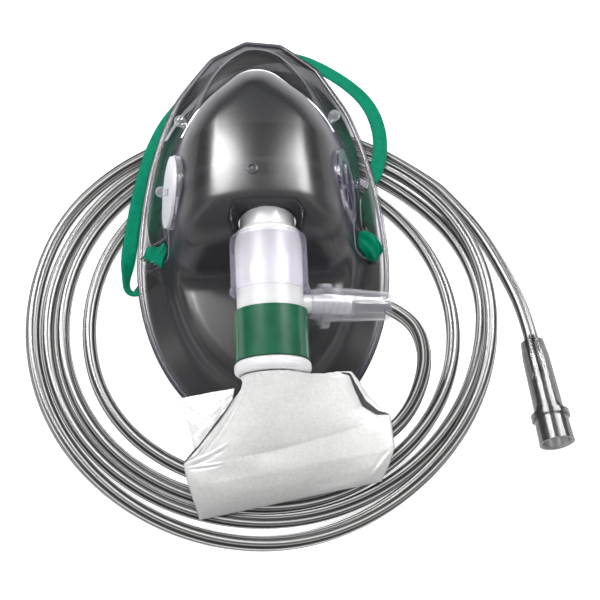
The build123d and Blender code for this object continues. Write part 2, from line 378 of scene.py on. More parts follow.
def film(name, dim):
    """Frosted bag film: milky, with a fine emboss, and painted shade that greys it towards the folded bottom.
    """
    s = Shader(name)
    colour = s.ramp(s.noise(70, 5.0, roughness=0.6), [(0.25, grey(0.73 * dim, -0.008 * dim)),
                                                      (0.7, grey(0.81 * dim, -0.008 * dim))])
    _, y, _ = s.split(s.place())
    speckle = s.ramp(s.noise(1100, 2.0), [(0.35, grey(0.90)), (0.65, grey(1.0))])
    # The first multiply is painted shade towards the folded bottom; the second is the speckled grain.
    for fac, shade in ((s.share(y, -0.0660, -0.0970), (*grey(0.35), 1)), (1.0, speckle)):
        colour = s.node("MixRGB", {"Fac": fac, "Color1": colour, "Color2": shade},
                        blend_type="MULTIPLY").outputs[0]
    long_creases = s.bump(s.noise(55, 5.0, roughness=0.6), 0.10, 0.0010)
    grain = s.node("Bump", {"Height": s.noise(1500, 2.0), "Strength": 0.35, "Distance": 0.0002,
                            "Normal": long_creases})
    return s.solid({
        "Base Color": colour, "Roughness": 0.42, "IOR": 1.5, "Subsurface Weight": 0.2,
        "Subsurface Radius": grey(0.006), "Subsurface Scale": 0.5, "Sheen Weight": 0.1,
        "Normal": grain.outputs[0]})


def elastic():
    """Woven elastic: ribs along the run, crossed by the weft, from the ribbon's own UVs."""
    s = Shader("strap_elastic")
    along, across, _ = s.split(s.node("UVMap").outputs[0])
    weft = s.math("SINE", s.times(along, TURN / 0.00055))
    ribs = s.math("SINE", s.times(across, TURN * 26))
    height = s.plus(s.times(weft, 0.35), s.times(ribs, 0.65))
    cloud = s.math("MULTIPLY_ADD", s.noise(500), 0.35, c=0.28)
    # The colour follows the weave's height: painted shade in its hollows, with random tone from the noise.
    shade = s.plus(s.times(height, 0.22), cloud)
    colour = s.ramp(shade, [(0.20, (0.0, 0.10, 0.055)), (0.50, (0.0, 0.215, 0.118)),
                            (0.85, (0.001, 0.29, 0.16))])
    return s.solid({
        "Base Color": colour, "Roughness": 0.85, "Specular IOR Level": 0.04, "Sheen Weight": 0.02,
        "Sheen Tint": (0.5, 0.95, 0.75, 1), "Normal": s.bump(height, 0.5, 0.00012)})


def tubing():
    """Clear star-lumen tube: its inner ribs are painted into its colour as dark lines and bright painted
    highlight lines along the run.
    """
    s = Shader("tubing")
    along, round_it, _ = s.split(s.node("UVMap").outputs[0])
    drift = s.times(along, 1.1)
    ribs = s.math("FRACT", s.times(s.plus(round_it, drift), 6.0))
    # Painted highlights: the bright lines stand for the glints of the inner ribs, between dark lines.
    lines = s.ramp(ribs, [(0.0, grey(0.008)), (0.18, grey(0.02)), (0.30, grey(0.16)),
                          (0.42, grey(0.80, -0.02)), (0.54, grey(0.16)), (0.68, grey(0.03)),
                          (0.79, grey(0.36, -0.01)), (0.90, grey(0.03)), (1.0, grey(0.008))])
    facing = s.node("LayerWeight", {"Blend": 0.4}).outputs["Facing"]
    fac = s.plus(s.times(facing, 0.15), 0.80, clamp=True)
    return s.see_through({"Base Color": lines, "Roughness": 0.26, "IOR": 1.5, "Specular IOR Level": 0.32},
                         (*grey(0.62, -0.01), 1), fac)


def plain(name, colour, rough, metallic=0.0, grain=0.0):
    s = Shader(name)
    low = tuple(c * 0.86 for c in colour)
    inputs = {"Base Color": s.ramp(s.noise(125), [(0.3, low), (0.7, colour)]), "Roughness": rough,
              "Metallic": metallic}
    if grain:
        inputs["Normal"] = s.bump(s.noise(500, 2.0), grain, 0.0003)
    return s.solid(inputs)


VINYL = vinyl_with_painted_shade()
EDGE = clear_plastic("vinyl_edge", (0.085, 0.065, 0.105), (0.55, 0.52, 0.60), 0.45, 0.95, 0.32)
SLEEVE = clear_plastic("clear_sleeve", (0.74, 0.67, 0.86), (0.985, 0.98, 0.99), 0.04, 0.80, 0.12, coat=0.3,
                       sharp=3.0)
CLEAR = clear_plastic("clear_plastic", (0.60, 0.60, 0.64), (0.90, 0.90, 0.92), 0.18, 0.85, 0.12, coat=0.4)
SOFT_CLEAR = clear_plastic("soft_clear", (0.66, 0.65, 0.70), (0.90, 0.90, 0.91), 0.16, 0.70, 0.12, bump=0.5,
                           coat=0.4)
FAINT = clear_plastic("faint_clear", (0.22, 0.19, 0.27), (0.90, 0.89, 0.92), 0.10, 0.85, 0.12, coat=0.3)
SMOKE = clear_plastic("smoke_clear", grey(0.04), grey(0.56), 0.20, 0.94, 0.20, sharp=1.6)
WHITE = white_plastic()
GREEN = green_band()
# The back layer's film is a darker copy of the same film: painted shade.
FILM, FILM_BACK_SHADED = film("bag_film", 1.0), film("bag_film_back_shaded", 0.80)
ELASTIC = elastic()
TUBING = tubing()
SILICONE = plain("silicone", (0.66, 0.64, 0.71), 0.38, grain=0.1)
METAL = plain("clip_metal", (0.50, 0.51, 0.53), 0.42, metallic=1.0, grain=0.05)
# Dark painted shade for the inside of the bag's gusset fold and its pinched creases.
BAG_SHADE = plain("bag_inside_shade", (0.05, 0.05, 0.052), 0.5)
RUBBER = plain("rubber_thread", (0.012, 0.03, 0.02), 0.6)


def cover(piece, material):
    piece.data.materials.clear()
    piece.data.materials.append(material)


def paint(piece, material):
    cover(piece, material)


def moulded(piece, material):
    """Finish a piece that is moulded with the mask and stays with it."""
    bmesh_fix(piece)
    paint(piece, material)
    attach(piece, "root")


# ---- camera, floor and light ----
def aimed(thing, at, target):
    thing.location = at
    thing.rotation_euler = (target - at).to_track_quat("-Z", "Y").to_euler()


def make_camera():
    azimuth, elevation, away = math.radians(2.7), math.radians(62), 0.382
    target = Vector((0.013, -0.014, 0.0))
    forward = Vector((math.sin(azimuth) * math.cos(elevation), math.cos(azimuth) * math.cos(elevation),
                      -math.sin(elevation)))
    data = bpy.data.cameras.new("camera")
    data.lens = 62
    data.sensor_width = 36
    data.clip_start = 0.01
    data.clip_end = 10
    camera = linked("camera", data)
    aimed(camera, target - forward * away, target)
    bpy.context.scene.camera = camera


def area_light(name, at, aim, size, power, diffuse=True, glossy=True):
    data = bpy.data.lights.new(name, "AREA")
    data.shape = "RECTANGLE"
    data.size, data.size_y = size
    data.energy = power
    lamp = linked(name, data)
    aimed(lamp, Vector(at), Vector(aim))
    lamp.visible_diffuse = diffuse
    lamp.visible_glossy = glossy


def make_stage():
    half = 3
    corners = [(-half, -half, 0), (half, -half, 0), (half, half, 0), (-half, half, 0)]
    floor = mesh_object("floor", corners, [(0, 1, 2, 3)])
    s = Shader("floor_paper")
    colour = s.ramp(s.noise(30, 2.0), [(0.2, grey(0.90)), (0.8, grey(0.93))])
    floor.data.materials.append(s.solid({
        "Base Color": colour, "Roughness": 0.9, "Emission Color": (1, 1, 1, 1), "Emission Strength": 0.60}))
    sky = Shader("studio", world=True)
    _, _, up = sky.split(sky.node("TexCoord").outputs["Generated"])
    colour = sky.ramp(up, [(0.10, grey(0.30)), (0.85, grey(0.85))])
    bpy.context.scene.world = sky.finish(sky.node("Background", {"Color": colour, "Strength": 0.56}))
    dome, front = (0, 0, 0.04), (0.01, -0.05, 0.01)
    area_light("left_box", (-0.21, 0.30, 0.58), dome, (0.11, 0.34), 2.4)
    area_light("right_box", (0.25, 0.28, 0.58), dome, (0.13, 0.34), 1.8)
    area_light("left_gloss", (-0.35, 0.30, 0.54), dome, (0.24, 0.36), 19.0, diffuse=False)
    area_light("right_gloss", (0.45, 0.28, 0.52), dome, (0.26, 0.36), 15.0, diffuse=False)
    area_light("front_box", (0.05, -0.46, 0.66), front, (0.45, 0.35), 2.4, glossy=False)
    area_light("left_strip", (-0.50, -0.06, 0.26), (0, 0, 0.02), (0.03, 0.5), 0.5)
    area_light("right_strip", (0.52, -0.06, 0.26), (0, 0, 0.02), (0.03, 0.5), 0.4)
    scene = bpy.context.scene
    scene.view_settings.view_transform = "Standard"
    scene.cycles.transparent_max_bounces = 32


make_camera()
make_stage()

# ---- supply tubing ----
# The loose coil, as (turns, radius in mm): it opens as it goes, and its turns bulge unevenly.
COIL = [(0.15, 62.6), (0.32, 62.9), (0.42, 64.2), (0.52, 63.4), (0.62, 66.0), (0.76, 66.4), (0.88, 65.4),
        (0.96, 66.4), (1.05, 69.0), (1.18, 70.2), (1.31, 69.9), (1.39, 72.0), (1.52, 73.6), (1.64, 75.7),
        (1.76, 75.0), (1.86, 73.4), (1.92, 77.6), (1.97, 80.6), (2.03, 78.0), (2.11, 76.0), (2.25, 75.3),
        (2.31, 75.3), (2.40, 77.2), (2.52, 79.2), (2.65, 81.1), (2.76, 80.6), (2.86, 78.9), (2.95, 81.6),
        (3.03, 80.6), (3.11, 80.6), (3.17, 81.6), (3.25, 83.2), (3.32, 82.2), (3.41, 82.4), (3.52, 84.6),
        (3.60, 88.0), (3.67, 86.4), (3.77, 85.4), (3.86, 84.6), (3.90, 86.2)]


def coil_radius(t):
    """Radius of the coil after t turns, eased between its stations."""
    fine = np.linspace(0.1, 3.95, 1541)
    return float(np.interp(t, fine, smoothed(np.interp(fine, *zip(*COIL)), 15)))


def coil_lift(t):
    """Height of the tube's centre: the last turn climbs on the one before it for a stretch."""
    climb, fall, reach = 2.86, 3.17, 0.018
    rise = 1 / (1 + math.exp(-(t - climb) / reach)) - 1 / (1 + math.exp(-(t - fall) / reach))
    return (0.5 + rise) * TUBE / MM


def coil_route(first=0.185, last=3.89, per_turn=20, spread=1.012):
    """The coil's points, spread a little because the smooth line passes inside them."""
    points = []
    steps = round((last - first) * per_turn)
    for k in range(steps + 1):
        t = first + (last - first) * k / steps
        a = -TURN * t
        r = coil_radius(t) * spread
        points.append((COIL_CENTRE[0] / MM + r * math.cos(a), COIL_CENTRE[1] / MM + r * math.sin(a),
                       coil_lift(t)))
    return points


LEAD_START = INLET @ Vector((0, 0, ADAPTOR_END - 0.001))
lead_route = [(48.2, -35.1, 24.8), (53.1, -41.2, 21.0), (54.1, -49.9, 16.3), (50.5, -59.3, 9.0),
              (44.8, -65.8, 3.3), (36.5, -71.5, 2.5)]
SUPPLY_AXIS = (SUPPLY_END - SUPPLY_START).normalized()
tail_route = [(72.5, 26.0, 2.5), (82.5, 10.5, 2.5), (89.2, -7.5, 3.2)]
tube_route = ([tuple(LEAD_START)] + mm(lead_route + coil_route() + tail_route)
              + [tuple(SUPPLY_START - SUPPLY_AXIS * 0.013), tuple(SUPPLY_START)])


def make_tubing():
    points = spline_points("tube_line", tube_route)
    tube = swept("oxygen_tubing", points, ring_outline(TUBE / 2, 20))
    paint(tube, TUBING)
    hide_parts("tube_lead", "tube_coil", "tube_tail")
    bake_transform(tube)
    length = run_length(points)[-1]
    print("tubing length", round(length, 4))


make_tubing()


# ---- mask shell ----
WALL = 0.0013
# The skirt's height by the distance inside the rim, and the dome's corners in plan, all in mm.
SKIRT = [(0, 0.4), (2.2, 0.7), (9.0, 5.2), (11.2, 8.0), (13.2, 13.5), (15.5, 16.2), (19, 17.2), (60, 18.4)]
HOUSE_BASE = [(0, 79), (33, 46.5), (34, -15), (-34, -15), (-33, 46.5)]
HOUSE_TOP = [(0, 53.5), (22, 35), (24.5, -9), (-24.5, -9), (-22, 35)]
BASE_Z, TOP_Z, ROUND = 10.0, 53.2, 10.5


def inset_of(x, y):
    """How far a point lies inside the rim, in mm: on the ellipse whose half axes are that much shorter."""
    long_axis = np.where(y >= 0, NOSE / MM, CHIN / MM)

    def outside(inset):
        return (x / (HALF / MM - inset)) ** 2 + (y / (long_axis - inset)) ** 2 > 1

    return halved(np.zeros_like(x), np.full_like(x, HALF / MM - 0.01), outside, 28)


def soft_min(a, b, reach):
    """The lower of two, rounded where they come within reach of each other."""
    near = np.maximum(reach - np.abs(a - b), 0) / reach
    return np.minimum(a, b) - near ** 2 * reach / 4


def shell_height(x, y):
    """Height of the outer surface over the rim's plane, in mm, for points inside the rim.

    The dome is a five-sided house with sloping walls and a bowed roof, all rounded. It melts into the
    skirt, and a notch at its chin end leaves room for the connector.
    """
    fine = np.linspace(0, 60, 1201)
    low_z = np.interp(inset_of(x, y), fine, smoothed(np.interp(fine, *zip(*SKIRT)), 30))

    def field(z):
        f = (z - BASE_Z) / (TOP_Z - BASE_Z)
        crown = TOP_Z + 0.6 - 0.0105 * x ** 2 - 0.0042 * (y - 14) ** 2
        total = np.maximum((z - crown) * 0.97 + ROUND, 0) ** 2
        corners = [[b * (1 - f) + t * f for b, t in zip(*pair)] for pair in zip(HOUSE_BASE, HOUSE_TOP)]
        for (ax, ay), (bx, by) in zip(corners, corners[1:] + corners[:1]):
            run = np.hypot(bx - ax, by - ay)
            out = ((x - ax) * (ay - by) + (y - ay) * (bx - ax)) / run
            total = total + np.maximum(out + ROUND, 0) ** 2
        return soft_min(np.sqrt(total) - ROUND, (z - low_z) * 0.8, 5.0)

    low = halved(np.full_like(x, -2.0), np.full_like(x, 60.0), lambda z: field(z) > 0, 30)
    axis_z = 37.5 + 0.1228 * (y + 6.9)
    notch = axis_z - 3.0 + 32.0 * eased(np.abs(x - LEAN), 9.8, 13.4) + 26.0 * eased(y, -5.6, 0.4)
    return soft_min(low, notch, 1.6)


def kinked(x, y):
    """Pull the nose end of the rim in between its faint corners, as on a moulded flap."""
    angle = np.degrees(np.arctan2(y / (NOSE / MM), x / (HALF / MM)))
    reach = np.hypot(x / (HALF / MM), y / (NOSE / MM))
    corners = (40, 58, 77, 95, 113, 133)
    pull = np.zeros_like(x)
    for a, b in zip(corners, corners[1:]):
        inside = (angle > a) & (angle < b)
        pull = np.where(inside, 0.011 * np.sin(math.pi * (angle - a) / (b - a)), pull)
    pull = pull * eased(reach, 0.74, 0.98)
    return x * (1 - pull), y * (1 - pull)


def cut(piece, cutter):
    """Subtract a closed piece from a piece, and remove it."""
    bmesh_fix(cutter)
    mod = piece.modifiers.new("cut", "BOOLEAN")
    mod.operation = "DIFFERENCE"
    mod.solver = "EXACT"
    mod.object = cutter
    bpy.context.view_layer.update()
    evaluated = piece.evaluated_get(bpy.context.evaluated_depsgraph_get())
    data = bpy.data.meshes.new_from_object(evaluated)
    piece.modifiers.clear()
    old = piece.data
    piece.data = data
    bpy.data.meshes.remove(old)
    bpy.data.objects.remove(cutter)


def port_matrix(side):
    """Outward Z from the middle of a cheek, as in the CAD model."""
    lean = math.radians(15.6)
    across = side * (34.0 - (27.0 - BASE_Z) * math.tan(lean) - 0.4)
    out = Vector((side * math.cos(lean), 0, math.sin(lean)))
    x = Vector((0, 1, 0))
    local = Matrix((x, out.cross(x), out)).transposed().to_4x4()
    return MASK @ Matrix.Translation(Vector((across, 15.0, 27.0)) * MM) @ local


def port_bore(side):
    reach, radius, hub = 0.008, 0.0100, 0.0001
    return revolved("bore", [(hub, -reach), (radius, -reach), (radius, reach), (hub, reach)],
                    port_matrix(side), 64)


def slot_block(side):
    """The block that cuts a strap slot, where the strap's end comes through."""
    bm = bmesh.new()
    bmesh.ops.create_cube(bm, size=1)
    data = bpy.data.meshes.new("slot")
    bm.to_mesh(data)
    bm.free()
    block = linked("slot", data)
    spot = (0.0394, -0.0006, 0.003) if side > 0 else (-0.0376, 0.0030, 0.003)
    block.matrix_world = MASK @ Matrix.Translation(spot) @ Matrix.Diagonal((0.0054, 0.0044, 0.03, 1))
    return block


def rim_ellipse(angles, inset=0.0):
    """The rim's outline in its plane, in mm: long at the nose and short at the chin."""
    long_axis = np.where(np.sin(angles) >= 0, NOSE, CHIN) / MM
    return (HALF / MM - inset) * np.cos(angles), (long_axis - inset) * np.sin(angles)


def make_shell():
    """The vinyl as two skins joined round the rim, sampled on rays from a middle inside the dome."""
    rays, rings, fine, centre = 420, 150, 420, 8.0
    angles = np.linspace(0, TURN, rays, endpoint=False)
    share = np.linspace(1, 0.004, fine)
    rim_x, rim_y = rim_ellipse(angles)
    x = rim_x[:, None] * share[None, :]
    y = rim_y[:, None] * share[None, :] + centre * (1 - share[None, :])
    z = shell_height(x, y)
    run = np.concatenate([np.zeros((rays, 1)), np.cumsum(np.sqrt(
        np.diff(x) ** 2 + np.diff(y) ** 2 + np.diff(z) ** 2), axis=1)], axis=1)
    outer = np.zeros((rings, rays, 3))
    for k in range(rays):
        at = np.linspace(0, run[k, -1], rings)
        for axis, values in enumerate((x, y, z)):
            outer[:, k, axis] = np.interp(at, run[k], values[k])
    outer[..., 0], outer[..., 1] = kinked(outer[..., 0], outer[..., 1])
    sheet = mesh_object("shell_sheet", outer.reshape(-1, 3), grid_faces(rings, rays))
    normals = np.array([v.normal for v in sheet.data.vertices]).reshape(rings, rays, 3)
    if normals[rings // 2, :, 2].mean() < 0:
        normals = -normals
    bpy.data.objects.remove(sheet)
    inner = outer - normals * (WALL / MM)
    rim_roll = []
    for a in np.linspace(0, math.pi, 7)[1:-1]:
        middle = (outer[0] + inner[0]) / 2
        outward = np.stack([np.cos(angles), np.sin(angles) * 0.6, 0 * angles], 1)
        rim_roll.append(middle + (outer[0] - middle) * math.cos(a) + outward * 0.9 * math.sin(a))
    rows = [inner[-1 - k] for k in range(rings)] + rim_roll[::-1] + [outer[k] for k in range(rings)]
    verts = np.array([*np.array(rows).reshape(-1, 3), inner[-1].mean(0), outer[-1].mean(0)]) * MM
    shell = mesh_object("mask_shell_vinyl", place(verts, MASK), capped_faces(len(rows), rays))
    bmesh_fix(shell)
    for side in (-1, 1):
        cut(shell, port_bore(side))
        cut(shell, slot_block(side))
    open_mouth(shell)
    shell.data.shade_smooth()
    paint(shell, VINYL)
    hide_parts("mask_shell")
    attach(shell, "root")


def open_mouth(shell):
    """Open the vinyl where the connector passes, with a true circle for the opening's edge."""
    to_connector = CONNECTOR.inverted()
    bm = bmesh.new()
    bm.from_mesh(shell.data)

    def opening(along):
        """Its radius: narrower inside the mask than out where the connector passes."""
        return 0.0097 if along < 0.0005 else 0.0114

    def spot(v):
        p = to_connector @ v.co
        return p, math.hypot(p.x, p.y)

    def in_the_way(v):
        p, r = spot(v)
        return -0.010 < p.z < 0.013 and r < opening(p.z)

    bmesh.ops.delete(bm, geom=[v for v in bm.verts if in_the_way(v)], context="VERTS")
    edges = [e for e in bm.edges if e.is_boundary]
    one_cell = 0.0012
    for v in {v for e in edges for v in e.verts}:
        p, r = spot(v)
        if r < opening(p.z) + one_cell:
            grow = opening(p.z) / r
            v.co = CONNECTOR @ Vector((p.x * grow, p.y * grow, p.z))
    bmesh.ops.bridge_loops(bm, edges=edges)
    bmesh.ops.recalc_face_normals(bm, faces=bm.faces)
    bm.to_mesh(shell.data)
    bm.free()


make_shell()


def make_sleeve():
    """The clear sleeve that is moulded with the mask and grips the white connector."""
    outer, inner = 0.01285, 0.0113
    outline = [(inner, 0.0026), (outer - 0.0002, 0.0026), (outer + 0.0002, 0.0030), (outer, 0.0038),
               (outer, 0.0192), (outer + 0.0004, 0.0200), (outer + 0.0004, 0.0210), (outer, 0.0214),
               (inner + 0.0002, 0.0214), (inner, 0.0210)]
    moulded(revolved("sleeve_vinyl", outline, CONNECTOR, 128), SLEEVE)


make_sleeve()


def wall_contour(height, angles, centre=28.0):
    """Where the outside of the dome stands at one height: the radius from a centre inside it."""
    cos, sin = np.cos(angles), np.sin(angles)
    radius = halved(np.full_like(angles, 5.0), np.full_like(angles, 62.0),
                    lambda r: shell_height(r * cos, centre + r * sin) <= height, 26)
    return np.stack([radius * cos, centre + radius * sin], 1)


def make_clip():
    """The bent metal strip that lies on the nose end of the dome, held by two studs."""
    level, height, tilt = 19.4, 2.5, 0.30
    angles = np.linspace(math.radians(27), math.radians(153), 161)
    lower = wall_contour(level, angles)
    outward = np.stack([np.cos(angles), np.sin(angles)], 1)
    tall = height * (0.45 + 0.55 * eased(np.sin(angles), 0.60, 0.92))
    rows = []
    for gap in (0.10, 0.50):
        for climb in (np.zeros_like(tall), tall):
            line = lower + outward * gap
            line[:, 1] -= tilt * climb
            rows.append(np.concatenate([line, (level + 0.9 * climb)[:, None]], 1))
    rows = np.array([rows[0], rows[1], rows[3], rows[2]]).transpose(1, 0, 2)
    faces = grid_faces(len(angles), 4)
    faces += [(0, 1, 2, 3), tuple(len(angles) * 4 - 4 + k for k in (3, 2, 1, 0))]
    clip = mesh_object("nose_clip_strip", place(rows.reshape(-1, 3) * MM, MASK), faces)
    bmesh_fix(clip)
    clip.data.shade_flat()
    paint(clip, METAL)
    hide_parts("nose_clip")
    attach(clip, "root")


def make_rim():
    """The rolled edge all round the mask, with the slight kinks of a moulded flap at the nose."""
    angles = np.linspace(0, TURN, 361)[:-1]
    rim = np.stack([*rim_ellipse(angles, 0.7), np.full_like(angles, -0.05)], 1)
    rim[:, 0], rim[:, 1] = kinked(rim[:, 0], rim[:, 1])
    loop = place(rim * MM, MASK)
    sides, radius = 12, 0.00085
    tangent = np.roll(loop, -1, 0) - np.roll(loop, 1, 0)
    tangent /= np.linalg.norm(tangent, axis=1)[:, None]
    side = np.cross(tangent, (0, 0, 1))
    side /= np.linalg.norm(side, axis=1)[:, None]
    above = np.cross(side, tangent)
    verts = []
    for c, h in ring_outline(radius, sides):
        verts.append(loop + side * c + above * h)
    verts = np.array(verts).transpose(1, 0, 2).reshape(-1, 3)
    bead = mesh_object("rim_bead", verts, grid_faces(len(angles), sides, close_rows=True))
    moulded(bead, EDGE)


def make_gate_mark():
    """The small moulding mark in the middle of the crown: a ring round a dot."""
    spot = (-1.8, 8.4)
    z = float(shell_height(np.array([spot[0]]), np.array([spot[1]]))[0])
    at = MASK @ Matrix.Translation(Vector((*spot, z)) * MM)
    ring = [(0.0012, -0.0003), (0.0014, 0.0004), (0.0017, 0.0004), (0.0020, -0.0003)]
    dot = [(0.00002, -0.0002), (0.00002, 0.0007), (0.0004, 0.0006), (0.0006, -0.0002)]
    moulded(revolved("gate_ring", ring, at, 48), EDGE)
    moulded(revolved("gate_dot", dot, at, 32), CLEAR)


make_clip()
make_rim()
make_gate_mark()

# ---- CAD nodes that stay, with their materials ----
for node, material in (
        ("vent_seat_left", CLEAR), ("vent_seat_right", FAINT),
        ("exhalation_disc", SILICONE), ("nose_clip_studs", CLEAR), ("valve_body", WHITE),
        ("inhalation_seat", WHITE), ("inhalation_disc", SILICONE), ("colour_band", GREEN),
        ("neck_ring", WHITE), ("tube_adaptor", SOFT_CLEAR), ("tube_end", TUBING),
        ("supply_connector", SMOKE), ("supply_tube_end", TUBING)):
    cover(frame["nodes"][node], material)


# ---- strap ----
strap_outer_route = [(-40.5, -4.0), (-46.5, -11.5), (-51.3, -8.5), (-50.2, 4), (-47.6, 24), (-43.6, 44),
                     (-38.2, 59.5), (-30.5, 71), (-20.5, 81.5), (-8.5, 88.5), (4, 92.2), (15, 91.5),
                     (26, 86), (37, 77), (44.2, 67.8), (47.4, 57), (47.4, 46), (44.6, 36), (41, 27),
                     (40.4, 17), (40.8, 6.7)]
strap_inner_route = [(-38.0, 6.4), (-41.3, 16), (-39.8, 32), (-35.4, 49), (-28.5, 62.5), (-18.5, 73),
                     (-6.5, 80.6), (5.5, 83.4), (16, 80.5), (24.5, 72.5), (31, 61), (35, 48), (36, 36),
                     (34.8, 24), (34.4, 14), (35.4, 6.7)]


def ribbon_outline(width, thick):
    w, t = width / 2, thick / 2
    top = [(w - t * 0.4, t), (w * 0.5, t), (0, t), (-w * 0.5, t), (-w + t * 0.4, t)]
    return [(w, 0.0)] + top + [(-w, 0.0)] + [(-a, -b) for a, b in top]


def make_strap(name, route, node, roll_of, wide_of):
    local = [(x * MM, y * MM, STRAP_LEVEL) for x, y in route]
    points = spline_points(name + "_line", [tuple(MASK @ Vector(p)) for p in local])
    up = MASK.to_3x3() @ Vector((0, 0, 1))
    share = run_length(points) / run_length(points)[-1]
    strap = swept(name, points, ribbon_outline(STRAP_WIDTH, STRAP_THICK), up, roll_of(share), wide_of(share))
    paint(strap, ELASTIC)
    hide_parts(node)
    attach(strap, "root")


make_strap("strap_outer_elastic", strap_outer_route, "strap_outer",
           lambda s: -1.25 * bell(s, 0.062, 0.035) - 0.30 * bell(s, 0.16, 0.12) + 0.12 * np.sin(s * 21),
           lambda s: 1 - 0.58 * bell(s, 0.905, 0.014) - 0.15 * bell(s, 0.5, 0.1))
make_strap("strap_inner_elastic", strap_inner_route, "strap_inner",
           lambda s: 0.12 * np.sin(s * 17), lambda s: 1 - 0.25 * bell(s, 0.45, 0.08))


# ---- strap knots ----
KNOT_STATIONS = (0, 0.45, 0.8, 1)


def pleated(pleats, sides=72):
    """A flattened outline, one unit wide and thick, whose edge is gathered in pleats."""
    points = []
    for k in range(sides):
        a = TURN * k / sides
        ripple = 1 + 0.16 * math.cos(pleats * a + 0.6)
        across = math.copysign(abs(math.cos(a)) ** 0.8, math.cos(a)) / 2
        points.append((across * (0.94 + 0.06 * ripple), math.sin(a) / 2 * ripple))
    return np.array(points)


def make_knot(name, node, route, widths, thicks, up, seed):
    """The gathered strap end: pleats that open towards a cut edge with dark rubber threads."""
    points = spline_points(name + "_line", [tuple(MASK @ (Vector(p) * MM)) for p in route], 14)
    share = run_length(points) / run_length(points)[-1]
    tangent, side, above = frames_along(points, MASK.to_3x3() @ Vector(up))
    base = pleated(9)
    n = len(base)
    rows = []
    for k, s in enumerate(share):
        w, h = (np.interp(s, KNOT_STATIONS, sizes) * MM for sizes in (widths, thicks))
        curl = 0.12 * np.sin(9 * base[:, 0] + 7 * s) * h
        rise = base[:, 1, None] * h + curl[:, None]
        rows.append(points[k] + base[:, 0, None] * w * side[k] + rise * above[k])
    verts = [*np.array(rows).reshape(-1, 3), points[0], points[-1] - tangent[-1] * 0.0004]
    body = mesh_object(name, verts, capped_faces(len(rows), n))
    bmesh_fix(body)
    along = [s for s in share for _ in range(n)]
    uv = [(a * 0.012, 0.1 + 0.8 * (base[k % n, 0] + 0.5)) for k, a in enumerate(along)]
    add_uv(body, uv + [(0, 0.5), (0.012, 0.5)])
    paint(body, ELASTIC)
    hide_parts(node)
    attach(body, "root")
    make_threads(name, points[-1], tangent[-1], side[-1], above[-1], widths[-1] * MM, seed)


def make_threads(name, end, out, side, above, width, seed):
    """The cut end of a knot: thick rubber threads in a row, and thin frayed ones at random."""
    rng = np.random.default_rng(seed)

    def tip_from(root, reach, rise, drift):
        return root + (out * rng.uniform(*reach) + above * rng.uniform(*rise)
                       + side * rng.uniform(-drift, drift)) * MM

    for k in range(8):
        across = (k / 7 - 0.5) * width * 0.92
        root = end + side * across + above * rng.uniform(-0.3, 0.5) * MM - out * 0.0006
        thread = np.linspace(root, tip_from(root, (1.0, 1.6), (0.2, 0.9), 0.3), 6)
        stub = swept(f"{name}_thread_{k}", thread, ring_outline(rng.uniform(0.42, 0.58) * MM, 10))
        paint(stub, RUBBER if k % 4 else ELASTIC)
        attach(stub, "root")
    for k in range(16):
        root = end + side * rng.uniform(-0.5, 0.5) * width - out * 0.0003
        tip = tip_from(root, (0.8, 2.0), (-0.6, 0.8), 0.8)
        middle = (root + tip) / 2 + above * 0.3 * MM
        fray = swept(f"{name}_fray_{k}", np.array([root, middle, tip]), ring_outline(0.09 * MM, 5))
        paint(fray, ELASTIC)
        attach(fray, "root")


make_knot("knot_left_elastic", "strap_knot_left",
          [(-37.2, 4.2, -2.0), (-37.2, 3.8, 3.0), (-37.8, 2.6, 7.2), (-38.8, 0.4, 8.4), (-40.0, -2.0, 7.2)],
          (4.0, 8.0, 9.4, 10.2), (2.4, 4.6, 3.8, 2.2), (-0.25, 0.3, 1), 3)
make_knot("knot_right_elastic", "strap_knot_right",
          [(40.2, -1.4, -2.0), (40.6, -1.2, 3.0), (40.0, 0.2, 7.0), (37.6, 2.8, 8.2), (35.6, 5.4, 7.4)],
          (3.4, 7.4, 8.2, 7.4), (2.4, 5.0, 4.0, 2.2), (0.25, -0.3, 1), 8)


def slot_ring(side, half):
    """A rounded square round a strap slot, in the rim's plane, with points along its sides."""
    middle, corner = (side * 38.4, 2), 0.5
    ring = []
    for cx, cy, start in ((1, 1, 0), (-1, 1, 90), (-1, -1, 180), (1, -1, 270)):
        for turn in (0, 30, 60, 90):
            t = math.radians(start + turn)
            ring.append((middle[0] + cx * (half - corner) + corner * math.cos(t),
                         middle[1] + cy * (half - corner) + corner * math.sin(t)))
    dense = []
    for k, (a, b) in enumerate(zip(ring, ring[1:] + ring[:1])):
        steps = 9 if k % 4 == 3 else 1
        dense += [(a[0] + (b[0] - a[0]) * i / steps, a[1] + (b[1] - a[1]) * i / steps) for i in range(steps)]
    return dense


def make_slot_rims():
    """The low raised border moulded round each strap slot, on the shell's own surface."""
    border = ((0.02, -0.8), (0.02, 0.45), (0.15, 0.6), (0.50, 0.6), (0.65, 0.45), (0.65, -0.5))
    for side, name in ((-1, "left"), (1, "right")):
        xy = np.array([slot_ring(side, 4.8 + out) for out, _ in border])
        z = shell_height(xy[..., 0], xy[..., 1]) + np.array([rise for _, rise in border])[:, None]
        verts = place(np.concatenate([xy, z[..., None]], 2) * MM, MASK)
        moulded(mesh_object("slot_rim_" + name, verts, grid_faces(*xy.shape[:2], close_rows=True)), SLEEVE)


make_slot_rims()

